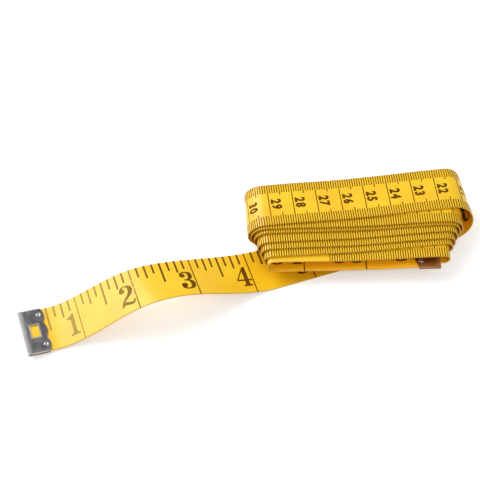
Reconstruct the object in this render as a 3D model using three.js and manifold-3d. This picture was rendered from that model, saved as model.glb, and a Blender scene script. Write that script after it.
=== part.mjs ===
// A cloth tape measure: one printed ribbon wound into a flat hank, with its free end drawn out
// over the table and a folded metal clip riveted to each end. Millimetres and degrees, +Z up.
import * as THREE from 'three';
import { mergeVertices } from 'three/addons/utils/BufferGeometryUtils.js';
import Module from 'manifold-3d';

const wasm = await Module();
wasm.setup();

// The ribbon
const TAPE_LENGTH = 1424;
const TAPE_WIDTH = 20;
const TAPE_THICKNESS = 0.45;

// The hank: where the upper run of each turn crosses its middle, and how far that run is turned
// from the long axis
const TOP_ACROSS = [12, 8.4, 7.1, 3.9, 1.1, -1.7, -5.4];
const TOP_HEADING = [6.6, 3, 3.4, 4.4, 4.3, 5, 2.4];
const TOP_SAG = 1;
const SAG_SETBACK = 4;
const LAST_RUN_ACROSS = -7.9;
const LAST_RUN_HEADING = 1.5;

// The room between its layers and inside it, and how far in the bends of the inner turns lie
const LAYER_GAP = 0.47;
const INNER_ROOM = 4.05;
const OUTER_SLACK = 1.5;
const LEFT_STEP_IN = 0.45;
const RIGHT_SET_IN = 0.6;
const RIGHT_STEP_IN = 0.4;
const INNER_END_SETBACK = 3.8;
const TAIL_LIFT = 0.7;
const TAIL_LIFT_LENGTH = 14;

// The free stretch: it leaves from under the hank, humps over the table and lies down at its clip
const FREE_HEADING = 18.1;
const FLOOR_RUN_ACROSS = -1.6;
const FREE_REACH = 94;
const HUMP_HEIGHT = 13.8;
const HUMP_CREST_SHARE = 0.563;
const HUMP_UNDER_HANK = 11.5;
const ROLL_PEAK = 12;
const ROLL_PEAK_SHARE = 0.697;
const ROLL_SPREAD_SHARE = 0.434;
const LIFT_LINE_OFF_HANK = 8.3;
const END_CURL = 7;
const END_CURL_LENGTH = 10;
const FLEX_GAP = 0.3;

// The end clips and their rivets
const CLIP_SHEET = 0.4;
const CLIP_CLEARANCE = 0.15;
const CLIP_LENGTH = 9.9;
const CLIP_OVERHANG = 0.2;
const STRAIGHT_PAST_CLIP = 0.5;
const CLIP_LOBES = 3;
const LOBE_DEPTH = 1.1;
const WINDOW_ALONG = 3.5;
const WINDOW_ACROSS = 5.7;
const RIVET_FROM_LOBES = 1.9;
const RIVET_FROM_SIDE = 3.2;
const RIVET_RADIUS = 0.7;
const RIVET_HEAD_RADIUS = 1.1;
const RIVET_HEAD_HEIGHT = 0.3;
const RIVET_RIM_SHARE = 2 / 3;
const RIVET_DISH_SHARE = 0.7;
const RIVET_FALL_SHARE = 0.6;
const RIVET_CLEARANCE = 0.12;

// How finely curves are stepped and lengths are fitted
const BEND_STEPS = 12;
const SAG_STEPS = 8;
const HUMP_STEP = 4;
const TAIL_LIFT_STEPS = 4;
const LOBE_STEPS = 6;
const FOLD_STEPS = 8;
const RIVET_SIDES = 16;
const HEAD_STEPS = 6;
const CUT_MARGIN = 1;
const MERGE_DISTANCE = 1e-4;
const FIT_STEPS = 40;
const GAP_STEP = 2;
const GAP_LANES = [-0.5, -0.25, 0, 0.25, 0.5];

// Worked out from the driving dimensions
const TURNS = TOP_ACROSS.length;
const PITCH = TAPE_THICKNESS + LAYER_GAP;
const FLOOR_LEVEL = TAPE_THICKNESS / 2;
const INNER_TOP_LEVEL = FLOOR_LEVEL + TURNS * PITCH + INNER_ROOM;
const CLIP_INNER_HEIGHT = TAPE_THICKNESS + 2 * CLIP_CLEARANCE;
const CLIP_HEIGHT = CLIP_INNER_HEIGHT + 2 * CLIP_SHEET;
const CLIP_WIDTH = TAPE_WIDTH + 2 * CLIP_OVERHANG;
const FOLD_RADIUS = CLIP_HEIGHT / 2;
const WINDOW_FROM_FOLD = CLIP_LENGTH / 2;
const RIVET_FROM_FOLD = CLIP_LENGTH - RIVET_FROM_LOBES;
const RIVET_ACROSS = CLIP_WIDTH / 2 - RIVET_FROM_SIDE;
const RIVET_HOLE_RADIUS = RIVET_RADIUS + RIVET_CLEARANCE;
const RIVET_HEAD_LEVEL = CLIP_HEIGHT / 2 + RIVET_CLEARANCE;
const HUMP_START_AT = CLIP_LENGTH + STRAIGHT_PAST_CLIP;
const END_CURL_RATE = Math.tan(THREE.MathUtils.degToRad(END_CURL));
const HEADS_FROM_EASE = HUMP_START_AT + END_CURL_LENGTH / 2 - RIVET_FROM_FOLD - RIVET_HEAD_RADIUS;
const HUMP_FOOT_LEVEL = RIVET_HEAD_LEVEL + RIVET_HEAD_HEIGHT - END_CURL_RATE * HEADS_FROM_EASE;
const HUMP_CREST_AT = HUMP_CREST_SHARE * FREE_REACH;
const HUMP_END_AT = FREE_REACH + HUMP_UNDER_HANK;
const TIP_CURL_AT = HUMP_CREST_AT;
const ROLL_PEAK_AT = ROLL_PEAK_SHARE * FREE_REACH;
const ROLL_SPREAD = ROLL_SPREAD_SHARE * FREE_REACH;
const LEAD_LIFT_AT = FREE_REACH - LIFT_LINE_OFF_HANK;
const ANOTHER_TURN_AFTER = 4 * TAPE_WIDTH;

const tangent = (degrees) => Math.tan(THREE.MathUtils.degToRad(degrees));

const CLOTH = new THREE.MeshStandardMaterial({ color: 0xf8d02c, roughness: 0.5, metalness: 0 });
const CLIP_METAL = new THREE.MeshStandardMaterial({ color: 0x5c5c62, roughness: 0.38, metalness: 0.9 });
const RIVET_METAL = new THREE.MeshStandardMaterial({ color: 0xb4b2b0, roughness: 0.3, metalness: 0.9 });

// A station of the ribbon: the middle of its width, the way across it, the way along it, and its upper side.
function station(x, y, z, heading, along, roll = 0) {
  const turn = THREE.MathUtils.degToRad(heading);
  const tilt = THREE.MathUtils.degToRad(roll);
  const level = Math.cos(tilt);
  const across = new THREE.Vector3(-Math.sin(turn) * level, Math.cos(turn) * level, -Math.sin(tilt));
  const ahead = along.clone().normalize();
  const up = new THREE.Vector3().crossVectors(ahead, across).normalize();
  return { point: new THREE.Vector3(x, y, z), across, ahead, up };
}

// The runs of the hank: where the middle of turn k's upper or lower run lies, and where the bends begin.
const leftEnd = (k, runLength) => LEFT_STEP_IN * (k - 1) - runLength / 2;
const rightEnd = (k, runLength) => runLength / 2
  + (k === 0 ? OUTER_SLACK : -RIGHT_SET_IN - RIGHT_STEP_IN * (k - 1));
const acrossAt = (run, x) => run.across + x * tangent(run.heading);

function topRun(k) {
  const level = INNER_TOP_LEVEL + (TURNS - k) * PITCH;
  return { across: TOP_ACROSS[k - 1], heading: TOP_HEADING[k - 1], level };
}

// A lower run leads from the left end of its turn's upper run to the right end of the next one.
function bottomRun(k, runLength) {
  if (k === 0) {
    return { across: FLOOR_RUN_ACROSS, heading: FREE_HEADING, level: FLOOR_LEVEL };
  }
  const level = FLOOR_LEVEL + k * PITCH;
  if (k === TURNS) {
    return { across: LAST_RUN_ACROSS, heading: LAST_RUN_HEADING, level };
  }
  const left = leftEnd(k, runLength);
  const right = rightEnd(k, runLength);
  const start = acrossAt(topRun(k), left);
  const slope = (acrossAt(topRun(k + 1), right) - start) / (right - left);
  return { across: start - left * slope, heading: THREE.MathUtils.radToDeg(Math.atan(slope)), level };
}

function onRun(run, x, way) {
  const along = new THREE.Vector3(way, way * tangent(run.heading), 0);
  return station(x, acrossAt(run, x), run.level, run.heading, along);
}

// An upper run from right to left. All of them sag together between their bends.
function saggingRun(run, right, left, runLength) {
  const half = runLength / 2 - SAG_SETBACK;
  const sagging = Array.from({ length: SAG_STEPS + 1 }, (_, i) => {
    const share = i / SAG_STEPS;
    const x = half * (1 - 2 * share);
    const rate = TOP_SAG * Math.PI * Math.sin(2 * Math.PI * share) / (2 * half);
    const along = new THREE.Vector3(-1, -tangent(run.heading), -rate);
    const z = run.level - TOP_SAG * Math.sin(Math.PI * share) ** 2;
    return station(x, acrossAt(run, x), z, run.heading, along);
  });
  return [onRun(run, right, -1), ...sagging, onRun(run, left, -1)];
}

// A half turn about a line across the hank, from one run to the next, at the right (way 1) or left (way -1).
function bend(from, to, x, way) {
  const radius = Math.abs(to.level - from.level) / 2;
  const rise = Math.sign(to.level - from.level);
  const middle = (from.level + to.level) / 2;
  const start = acrossAt(from, x);
  const end = acrossAt(to, x);
  const slopeIn = way * radius * tangent(from.heading) * Math.PI;
  const slopeOut = -way * radius * tangent(to.heading) * Math.PI;
  const stations = [];
  for (let i = 1; i < BEND_STEPS; i += 1) {
    const u = i / BEND_STEPS;
    const angle = u * Math.PI;
    const y = start * (2 * u ** 3 - 3 * u ** 2 + 1) + end * (3 * u ** 2 - 2 * u ** 3)
      + slopeIn * (u ** 3 - 2 * u ** 2 + u) + slopeOut * (u ** 3 - u ** 2);
    const acrossRate = ((start - end) * (6 * u ** 2 - 6 * u)
      + slopeIn * (3 * u ** 2 - 4 * u + 1) + slopeOut * (3 * u ** 2 - 2 * u)) / Math.PI;
    const climbRate = rise * radius * Math.sin(angle);
    const along = new THREE.Vector3(way * radius * Math.cos(angle), acrossRate, climbRate);
    const heading = THREE.MathUtils.lerp(from.heading, to.heading, u);
    const z = middle - rise * radius * Math.cos(angle);
    stations.push(station(x + way * radius * Math.sin(angle), y, z, heading, along));
  }
  return stations;
}

// The ribbon's end curls up off the table: straight along its clip, which rests on its rivets, and
// easing out past it.
function endCurl(distance) {
  const eased = THREE.MathUtils.clamp(1 + (HUMP_START_AT - distance) / END_CURL_LENGTH, 0, 1);
  const onClip = Math.max(HUMP_START_AT - distance, 0);
  const level = END_CURL_RATE * (onClip + END_CURL_LENGTH * eased ** 2 / 2);
  return { level, slope: -END_CURL_RATE * eased };
}

// The free stretch, by the distance over the table from the outer clip's fold. The hump is two half waves,
// and the ribbon rolls a little on it, away from the front.
function onFreeStretch(distance, runLength) {
  const run = bottomRun(0);
  const turn = THREE.MathUtils.degToRad(run.heading);
  const hankEnd = leftEnd(1, runLength) - (topRun(1).level - bottomRun(1, runLength).level) / 2;
  const foldX = hankEnd - FREE_REACH * Math.cos(turn);
  const rising = distance < HUMP_CREST_AT;
  const foot = rising ? HUMP_START_AT : HUMP_END_AT;
  const footLevel = rising ? HUMP_FOOT_LEVEL : run.level;
  const crestLevel = run.level + HUMP_HEIGHT;
  const span = HUMP_CREST_AT - foot;
  const share = THREE.MathUtils.clamp((distance - foot) / span, 0, 1);
  const curl = endCurl(distance);
  const level = footLevel + curl.level + (crestLevel - footLevel) * (1 - Math.cos(Math.PI * share)) / 2;
  const slope = curl.slope + (crestLevel - footLevel) * Math.PI * Math.sin(Math.PI * share) / (2 * span);
  const x = foldX + distance * Math.cos(turn);
  const along = new THREE.Vector3(Math.cos(turn), Math.sin(turn), slope);
  const offPeak = Math.min(Math.abs(distance - ROLL_PEAK_AT) / ROLL_SPREAD, 1);
  const roll = ROLL_PEAK * (1 + Math.cos(Math.PI * offPeak)) / 2;
  return station(x, acrossAt(run, x), level, run.heading, along, roll);
}

function freeStations(from, to, runLength) {
  const steps = Math.ceil((to - from) / HUMP_STEP);
  const step = (to - from) / steps;
  return Array.from({ length: steps + 1 }, (_, i) => onFreeStretch(from + step * i, runLength));
}

// The last run ends inside the inner clip, lifted clear of the run below it.
function lastRun(runLength) {
  const run = bottomRun(TURNS, runLength);
  const end = runLength / 2 - INNER_END_SETBACK - FOLD_RADIUS;
  const liftEnd = end - CLIP_LENGTH - STRAIGHT_PAST_CLIP;
  const stations = [onRun(run, leftEnd(TURNS, runLength), 1)];
  for (let i = 0; i <= TAIL_LIFT_STEPS; i += 1) {
    const share = i / TAIL_LIFT_STEPS;
    const x = liftEnd - TAIL_LIFT_LENGTH * (1 - share);
    const raised = { ...run, level: run.level + TAIL_LIFT * (1 - Math.cos(Math.PI * share)) / 2 };
    const placed = onRun(raised, x, 1);
    const rise = TAIL_LIFT * Math.PI * Math.sin(Math.PI * share) / (2 * TAIL_LIFT_LENGTH);
    const along = new THREE.Vector3(1, tangent(run.heading), rise);
    stations.push(station(placed.point.x, placed.point.y, placed.point.z, run.heading, along));
  }
  stations.push(onRun({ ...run, level: run.level + TAIL_LIFT }, end, 1));
  return stations;
}

// Every station of the hank, from the floor run under it to the ribbon's inner end.
function hankStations(runLength) {
  const stations = [];
  for (let k = 1; k <= TURNS; k += 1) {
    const lower = bottomRun(k - 1, runLength);
    const right = rightEnd(k - 1, runLength);
    const left = leftEnd(k, runLength);
    stations.push(onRun(lower, right, 1), ...bend(lower, topRun(k), right, 1));
    stations.push(...saggingRun(topRun(k), right, left, runLength));
    stations.push(...bend(topRun(k), bottomRun(k, runLength), left, -1));
    if (k < TURNS) {
      stations.push(onRun(bottomRun(k, runLength), left, 1));
    }
  }
  return [...stations, ...lastRun(runLength)];
}

function lengthOf(stations) {
  return stations.slice(1).reduce((sum, s, i) => sum + s.point.distanceTo(stations[i].point), 0);
}

function laidLength(runLength) {
  return lengthOf([...freeStations(FOLD_RADIUS, HUMP_END_AT, runLength), ...hankStations(runLength)]);
}

// The straight runs take up what is left of the ribbon's length.
function fitRunLength() {
  let low = TAPE_LENGTH / (4 * TURNS);
  let high = TAPE_LENGTH / TURNS;
  for (let i = 0; i < FIT_STEPS; i += 1) {
    const middle = (low + high) / 2;
    if (laidLength(middle) < TAPE_LENGTH) {
      low = middle;
    } else {
      high = middle;
    }
  }
  return (low + high) / 2;
}

// A closed ribbon through its stations: four corners at each, four sides between, and an end cap at each end.
function ribbonGeometry(stations) {
  const corners = [[-1, -1], [1, -1], [1, 1], [-1, 1]];
  const positions = [];
  for (const s of stations) {
    for (const [side, face] of corners) {
      const corner = s.point.clone()
        .addScaledVector(s.across, side * TAPE_WIDTH / 2)
        .addScaledVector(s.up, face * TAPE_THICKNESS / 2);
      positions.push(corner.x, corner.y, corner.z);
    }
  }
  const sides = corners.length;
  const index = [0, 2, 1, 0, 3, 2];
  const last = (stations.length - 1) * sides;
  for (let i = 0; i < stations.length - 1; i += 1) {
    for (let j = 0; j < sides; j += 1) {
      const a = i * sides + j;
      const b = i * sides + (j + 1) % sides;
      index.push(a, b, a + sides, b, b + sides, a + sides);
    }
  }
  index.push(last, last + 1, last + 2, last, last + 2, last + 3);
  const geometry = new THREE.BufferGeometry();
  geometry.setAttribute('position', new THREE.Float32BufferAttribute(positions, 3));
  geometry.setIndex(index);
  return geometry;
}

// The least gap between different turns of the hank, measured on points spread over the middle
// layer of the ribbon.
function leastGap(stations) {
  const points = [];
  let travelled = 0;
  stations.forEach((s, i) => {
    const next = stations[i + 1];
    const length = next ? s.point.distanceTo(next.point) : 0;
    const steps = Math.max(1, Math.round(length / GAP_STEP));
    for (let j = 0; next && j < steps; j += 1) {
      const share = j / steps;
      const middle = s.point.clone().lerp(next.point, share);
      const across = s.across.clone().lerp(next.across, share);
      for (const lane of GAP_LANES) {
        const place = middle.clone().addScaledVector(across, lane * TAPE_WIDTH);
        points.push({ place, at: travelled + length * share });
      }
    }
    travelled += length;
  });
  const cell = 2 * PITCH;
  const key = (p, dx, dy, dz) => [p.x, p.y, p.z]
    .map((value, axis) => Math.floor(value / cell) + [dx, dy, dz][axis]).join(' ');
  const cells = new Map();
  for (const point of points) {
    const name = key(point.place, 0, 0, 0);
    cells.set(name, [...(cells.get(name) ?? []), point]);
  }
  const near = [-1, 0, 1];
  let least = Infinity;
  for (const point of points) {
    for (const dx of near) {
      for (const dy of near) {
        for (const dz of near) {
          for (const other of cells.get(key(point.place, dx, dy, dz)) ?? []) {
            if (other.at - point.at > ANOTHER_TURN_AFTER) {
              least = Math.min(least, point.place.distanceTo(other.place) - TAPE_THICKNESS);
            }
          }
        }
      }
    }
  }
  return least;
}

function toSolid(geometry) {
  const bare = geometry.clone();
  bare.deleteAttribute('normal');
  bare.deleteAttribute('uv');
  const merged = mergeVertices(bare, MERGE_DISTANCE);
  const vertProperties = new Float32Array(merged.attributes.position.array);
  const triVerts = new Uint32Array(merged.index.array);
  return new wasm.Manifold(new wasm.Mesh({ numProp: 3, vertProperties, triVerts }));
}

function toGeometry(solid) {
  const mesh = solid.getMesh();
  const geometry = new THREE.BufferGeometry();
  geometry.setAttribute('position', new THREE.Float32BufferAttribute(mesh.vertProperties, 3));
  geometry.setIndex(Array.from(mesh.triVerts));
  return geometry;
}

// An upright rod through a clip's rivet place, in the clip's own frame: x from the fold, z up.
function rivetHole(side) {
  const rod = new THREE.CylinderGeometry(RIVET_HOLE_RADIUS, RIVET_HOLE_RADIUS, 4 * CLIP_HEIGHT, RIVET_SIDES);
  rod.rotateX(Math.PI / 2);
  rod.translate(RIVET_FROM_FOLD, side * RIVET_ACROSS, 0);
  return rod;
}

// The folded sheet seen from its side: two flat leaves and the round fold that joins them.
function foldedSheet() {
  const outer = FOLD_RADIUS;
  const inner = CLIP_INNER_HEIGHT / 2;
  const side = new THREE.Shape();
  side.moveTo(CLIP_LENGTH, -outer);
  side.lineTo(CLIP_LENGTH, -inner);
  side.lineTo(outer, -inner);
  side.absarc(outer, 0, inner, -Math.PI / 2, Math.PI / 2, true);
  side.lineTo(CLIP_LENGTH, inner);
  side.lineTo(CLIP_LENGTH, outer);
  side.lineTo(outer, outer);
  side.absarc(outer, 0, outer, Math.PI / 2, -Math.PI / 2, false);
  const sheet = new THREE.ExtrudeGeometry(side, {
    depth: CLIP_WIDTH, bevelEnabled: false, curveSegments: FOLD_STEPS,
  });
  sheet.rotateX(Math.PI / 2);
  sheet.translate(0, CLIP_WIDTH / 2, 0);
  return sheet;
}

// The clip's outline from above: a straight fold and a row of round lobes along the other edge.
function lobedOutline() {
  const outline = new THREE.Shape();
  const half = CLIP_WIDTH / 2;
  const chord = CLIP_WIDTH / CLIP_LOBES;
  const radius = (chord * chord / 4 + LOBE_DEPTH * LOBE_DEPTH) / (2 * LOBE_DEPTH);
  const reach = Math.asin(chord / (2 * radius));
  outline.moveTo(-CUT_MARGIN, -half - CUT_MARGIN);
  outline.lineTo(CLIP_LENGTH - LOBE_DEPTH, -half - CUT_MARGIN);
  for (let i = 0; i < CLIP_LOBES; i += 1) {
    const middle = -half + chord * (i + 0.5);
    outline.absarc(CLIP_LENGTH - radius, middle, radius, -reach, reach, false);
  }
  outline.lineTo(CLIP_LENGTH - LOBE_DEPTH, half + CUT_MARGIN);
  outline.lineTo(-CUT_MARGIN, half + CUT_MARGIN);
  const plate = new THREE.ExtrudeGeometry(outline, {
    depth: 2 * CLIP_HEIGHT, bevelEnabled: false, curveSegments: LOBE_STEPS,
  });
  plate.translate(0, 0, -CLIP_HEIGHT);
  return plate;
}

function clipGeometry() {
  const windowBox = new THREE.BoxGeometry(WINDOW_ALONG, WINDOW_ACROSS, CLIP_HEIGHT);
  windowBox.translate(WINDOW_FROM_FOLD, 0, CLIP_HEIGHT / 2);
  let clip = toSolid(foldedSheet()).intersect(toSolid(lobedOutline())).subtract(toSolid(windowBox));
  for (const side of [-1, 1]) {
    clip = clip.subtract(toSolid(rivetHole(side)));
  }
  return toGeometry(clip);
}

// A rivet with a dished head on each side of the clip, upright in the clip's frame.
function rivetGeometry(side) {
  const head = Array.from({ length: HEAD_STEPS + 1 }, (_, i) => {
    const share = i / HEAD_STEPS;
    const inside = Math.max(1 - share / RIVET_RIM_SHARE, 0);
    const outside = Math.max((share - RIVET_RIM_SHARE) / (1 - RIVET_RIM_SHARE), 0);
    const lost = RIVET_DISH_SHARE * inside ** 2 + RIVET_FALL_SHARE * outside ** 2;
    return new THREE.Vector2(RIVET_HEAD_RADIUS * share, RIVET_HEAD_LEVEL + RIVET_HEAD_HEIGHT * (1 - lost));
  });
  const upper = [...head, new THREE.Vector2(RIVET_HEAD_RADIUS, RIVET_HEAD_LEVEL),
    new THREE.Vector2(RIVET_RADIUS, RIVET_HEAD_LEVEL)];
  const lower = upper.map((p) => new THREE.Vector2(p.x, -p.y));
  const rivet = new THREE.LatheGeometry([...lower, ...upper.reverse()], RIVET_SIDES);
  rivet.rotateX(Math.PI / 2);
  rivet.translate(RIVET_FROM_FOLD, side * RIVET_ACROSS, 0);
  return rivet;
}

// A group whose x runs from a clip's fold into the ribbon, from the ribbon's end station.
function clipFrame(end, inward) {
  const group = new THREE.Group();
  const x = end.ahead.clone().multiplyScalar(inward);
  const y = new THREE.Vector3().crossVectors(end.up, x);
  const basis = new THREE.Matrix4().makeBasis(x, y, end.up);
  group.quaternion.setFromRotationMatrix(basis);
  group.position.copy(end.point).addScaledVector(x, -FOLD_RADIUS);
  group.updateMatrixWorld(true);
  return group;
}

function named(name, geometry, material) {
  const mesh = new THREE.Mesh(geometry, material);
  mesh.name = name;
  return mesh;
}

function addClip(frame, place) {
  frame.add(named(`${place}_end_clip`, clipGeometry(), CLIP_METAL));
  frame.add(named(`${place}_near_rivet`, rivetGeometry(-1), RIVET_METAL));
  frame.add(named(`${place}_far_rivet`, rivetGeometry(1), RIVET_METAL));
}

function withRivetHoles(ribbon, frame) {
  let solid = toSolid(ribbon);
  for (const side of [-1, 1]) {
    solid = solid.subtract(toSolid(rivetHole(side).applyMatrix4(frame.matrixWorld)));
  }
  return toGeometry(solid);
}

function buildTapeMeasure() {
  const runLength = fitRunLength();
  const tip = freeStations(FOLD_RADIUS, TIP_CURL_AT - FLEX_GAP / 2, runLength);
  const lead = freeStations(TIP_CURL_AT + FLEX_GAP / 2, LEAD_LIFT_AT - FLEX_GAP / 2, runLength);
  const foot = freeStations(LEAD_LIFT_AT + FLEX_GAP / 2, HUMP_END_AT, runLength);
  const wound = [...foot, ...hankStations(runLength)];
  console.log(`straight runs ${runLength.toFixed(2)} mm, ribbon ${laidLength(runLength).toFixed(1)} mm,`
    + ` least gap between turns ${leastGap(wound).toFixed(2)} mm`);

  const outerFrame = clipFrame(tip[0], 1);
  const innerFrame = clipFrame(wound[wound.length - 1], -1);
  const root = new THREE.Group();
  root.add(named('wound_tape', withRivetHoles(ribbonGeometry(wound), innerFrame), CLOTH));
  root.add(named('free_tape_lead', ribbonGeometry(lead), CLOTH));
  root.add(named('free_tape_tip', withRivetHoles(ribbonGeometry(tip), outerFrame), CLOTH));
  addClip(outerFrame, 'outer');
  addClip(innerFrame, 'inner');
  root.add(outerFrame, innerFrame);

  // The origin is the middle of the part's box, on the table.
  const box = new THREE.Box3().setFromObject(root, true);
  root.position.set(-(box.min.x + box.max.x) / 2, -(box.min.y + box.max.y) / 2, -box.min.z);
  for (const [joint, distance] of [['tip curl', TIP_CURL_AT], ['lead lift', LEAD_LIFT_AT]]) {
    const line = onFreeStretch(distance, runLength);
    const axis = line.point.clone().addScaledVector(line.up, TAPE_THICKNESS / 2).add(root.position);
    console.log(`${joint} line at ${axis.toArray().map((v) => v.toFixed(3))}`
      + ` along ${line.across.toArray().map((v) => v.toFixed(5))}`);
  }
  return root;
}

export default buildTapeMeasure();
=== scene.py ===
"""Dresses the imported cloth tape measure: printed ribbon, end clips, rivets and the table it lies on."""
import bisect
import math
from collections import namedtuple

import bmesh
import bpy
from bpy.props import FloatProperty, FloatVectorProperty, PointerProperty
from mathutils import Matrix, Vector


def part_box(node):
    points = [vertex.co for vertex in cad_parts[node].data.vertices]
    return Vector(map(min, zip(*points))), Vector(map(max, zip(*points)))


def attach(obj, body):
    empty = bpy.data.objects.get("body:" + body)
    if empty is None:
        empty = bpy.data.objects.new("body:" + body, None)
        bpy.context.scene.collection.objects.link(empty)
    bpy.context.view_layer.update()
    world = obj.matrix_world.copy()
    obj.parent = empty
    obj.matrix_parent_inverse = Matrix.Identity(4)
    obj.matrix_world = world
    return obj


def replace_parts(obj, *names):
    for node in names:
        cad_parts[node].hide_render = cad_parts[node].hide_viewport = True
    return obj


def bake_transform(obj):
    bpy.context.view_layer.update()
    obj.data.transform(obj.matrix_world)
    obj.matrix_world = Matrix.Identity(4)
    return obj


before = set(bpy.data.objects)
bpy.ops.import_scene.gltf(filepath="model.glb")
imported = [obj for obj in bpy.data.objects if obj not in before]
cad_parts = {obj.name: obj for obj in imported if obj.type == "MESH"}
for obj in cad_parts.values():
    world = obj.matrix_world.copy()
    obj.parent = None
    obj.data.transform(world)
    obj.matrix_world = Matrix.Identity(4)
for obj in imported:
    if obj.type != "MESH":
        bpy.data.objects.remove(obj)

bl_info = {
    "name": "Cloth tape measure",
    "version": (1, 0, 0),
    "blender": (4, 5, 0),
    "location": "3D View > Sidebar > Tape measure",
    "description": "Lays, prints and finishes a cloth tape measure wound into a flat hank",
    "category": "Object",
}

MM = 0.001

# The ribbon and how it is wound, in millimetres and degrees, as in the part's source
TAPE_WIDTH = 20.0
TAPE_THICKNESS = 0.45
TOP_ACROSS = (12.0, 8.4, 7.1, 3.9, 1.1, -1.7, -5.4)
TOP_HEADING = (6.6, 3.0, 3.4, 4.4, 4.3, 5.0, 2.4)
TOP_SAG = 1.0
SAG_SETBACK = 4.0
LAST_RUN_ACROSS = -7.9
LAST_RUN_HEADING = 1.5
LAYER_GAP = 0.47
INNER_ROOM = 4.05
OUTER_SLACK = 1.5
LEFT_STEP_IN = 0.45
RIGHT_SET_IN = 0.6
RIGHT_STEP_IN = 0.4
INNER_END_SETBACK = 3.8
TAIL_LIFT = 0.7
TAIL_LIFT_LENGTH = 14.0
RUN_LENGTH = 75.37
FREE_HEADING = 18.1
FLOOR_RUN_ACROSS = -1.6
FREE_REACH = 94.0
HUMP_HEIGHT = 13.8
HUMP_CREST_SHARE = 0.563
HUMP_UNDER_HANK = 11.5
ROLL_PEAK = 12.0
ROLL_PEAK_SHARE = 0.697
ROLL_SPREAD_SHARE = 0.434
LIFT_LINE_OFF_HANK = 8.3
END_CURL = 7.0
END_CURL_LENGTH = 10.0
CLIP_SHEET = 0.4
CLIP_CLEARANCE = 0.15
CLIP_LENGTH = 9.9
STRAIGHT_PAST_CLIP = 0.5
WINDOW_ALONG = 3.5
WINDOW_ACROSS = 5.7
RIVET_FROM_LOBES = 1.9
RIVET_RADIUS = 0.7
RIVET_HEAD_RADIUS = 1.1
RIVET_HEAD_HEIGHT = 0.3
RIVET_RIM_SHARE = 2 / 3
RIVET_DISH_SHARE = 0.7
RIVET_FALL_SHARE = 0.6
RIVET_CLEARANCE = 0.12

TURNS = len(TOP_ACROSS)
PITCH = TAPE_THICKNESS + LAYER_GAP
FLOOR_LEVEL = TAPE_THICKNESS / 2
INNER_TOP_LEVEL = FLOOR_LEVEL + TURNS * PITCH + INNER_ROOM
CLIP_HEIGHT = TAPE_THICKNESS + 2 * CLIP_CLEARANCE + 2 * CLIP_SHEET
FOLD_RADIUS = CLIP_HEIGHT / 2
RIVET_HEAD_LEVEL = CLIP_HEIGHT / 2 + RIVET_CLEARANCE
RIVET_FROM_FOLD = CLIP_LENGTH - RIVET_FROM_LOBES
HUMP_START_AT = CLIP_LENGTH + STRAIGHT_PAST_CLIP
END_CURL_RATE = math.tan(math.radians(END_CURL))
HEADS_FROM_EASE = HUMP_START_AT + END_CURL_LENGTH / 2 - RIVET_FROM_FOLD - RIVET_HEAD_RADIUS
HUMP_FOOT_LEVEL = RIVET_HEAD_LEVEL + RIVET_HEAD_HEIGHT - END_CURL_RATE * HEADS_FROM_EASE
HUMP_CREST_AT = HUMP_CREST_SHARE * FREE_REACH
HUMP_END_AT = FREE_REACH + HUMP_UNDER_HANK
LEAD_LIFT_AT = FREE_REACH - LIFT_LINE_OFF_HANK
ROLL_PEAK_AT = ROLL_PEAK_SHARE * FREE_REACH
ROLL_SPREAD = ROLL_SPREAD_SHARE * FREE_REACH

# Where the ribbon's pieces meet, and how far each bend at a flex line reaches to either side
CURL_PIECE_END = (HUMP_CREST_AT + LEAD_LIFT_AT) / 2
LIFT_PIECE_REACH = 16.0
LIFT_PIECE_END = LEAD_LIFT_AT + LIFT_PIECE_REACH
FLEX_REACH = 12.0

# How the wound cloth ripples between its bends
RUN_EASE = 0.1
RUN_EASE_LENGTH = 41.0

# How finely the ribbon and the metal are stepped, and which angles count as flat or as an edge
FREE_STEP = 1.0
RUN_STEP = 4.0
BEND_STEP = 0.6
LEAST_BEND_STEPS = 12
TAIL_LIFT_STEPS = 8
HEAD_STEPS = 9
RIVET_SIDES = 28
EDGE_LANE = 0.25
FACE_LANES = (6.0, 2.0)
ROUNDING_ANGLES = (30, 60)
MERGE_DISTANCE = 0.001
CUT_TOLERANCE = 1e-4
FLAT_ANGLE = 1
CLIP_EDGE_ANGLE = 40
RIVET_EDGE_ANGLE = 50
FLATS_WEIGHT = 100

# The printed scales
INCH = 25.4
CENTIMETRE = 10.0
INCH_START = -1.4
CENTIMETRE_START = -0.9
BARE_END = 10.6
BARE_EDGE_START = 1327.5
BARE_EDGE_END = 1353.0
INCH_LINE = 0.5
INCH_TICK = 0.8
EIGHTH_REACH = 5.3
QUARTER_REACH = 7.0
HALF_REACH = 11.0
INCH_NUMERAL_HEIGHT = 9.8
INCH_NUMERAL_ADVANCE = 7.1
INCH_BASELINE = -6.6
INCH_NUMERAL_GAP = 0.3
MILLIMETRE_TICK = 0.4
MILLIMETRE_REACH = 4.3
FIVE_REACH = 5.5
CENTIMETRE_LINE = 0.38
CM_NUMERAL_HEIGHT = 4.45
CM_NUMERAL_WIDTH = 2.4
CM_NUMERAL_ADVANCE = 2.75
CM_NUMERAL_GAP = 0.8
CM_NUMERAL_BOLDNESS = 0.05
LETTER_MERGE_DISTANCE = 0.001
INK_SUNK = 0.04

# Lengths that the cloth's weave, its painted glow inside the hank, the wear and painted sheen of the ink and
# the painted highlights on the metal are drawn to
WARP_PITCH = 0.55
WEFT_PITCH = 0.5
PAINTED_GLOW_START = 90.0
PAINTED_GLOW_FULL = 136.0
SHEEN_FADE_START = 35.0
SHEEN_FADE_FULL = 65.0
FOLD_PAINTED_HIGHLIGHT_LENGTH = 2.8
RIM_PAINTED_HIGHLIGHT_WIDTH = 0.7

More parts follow.
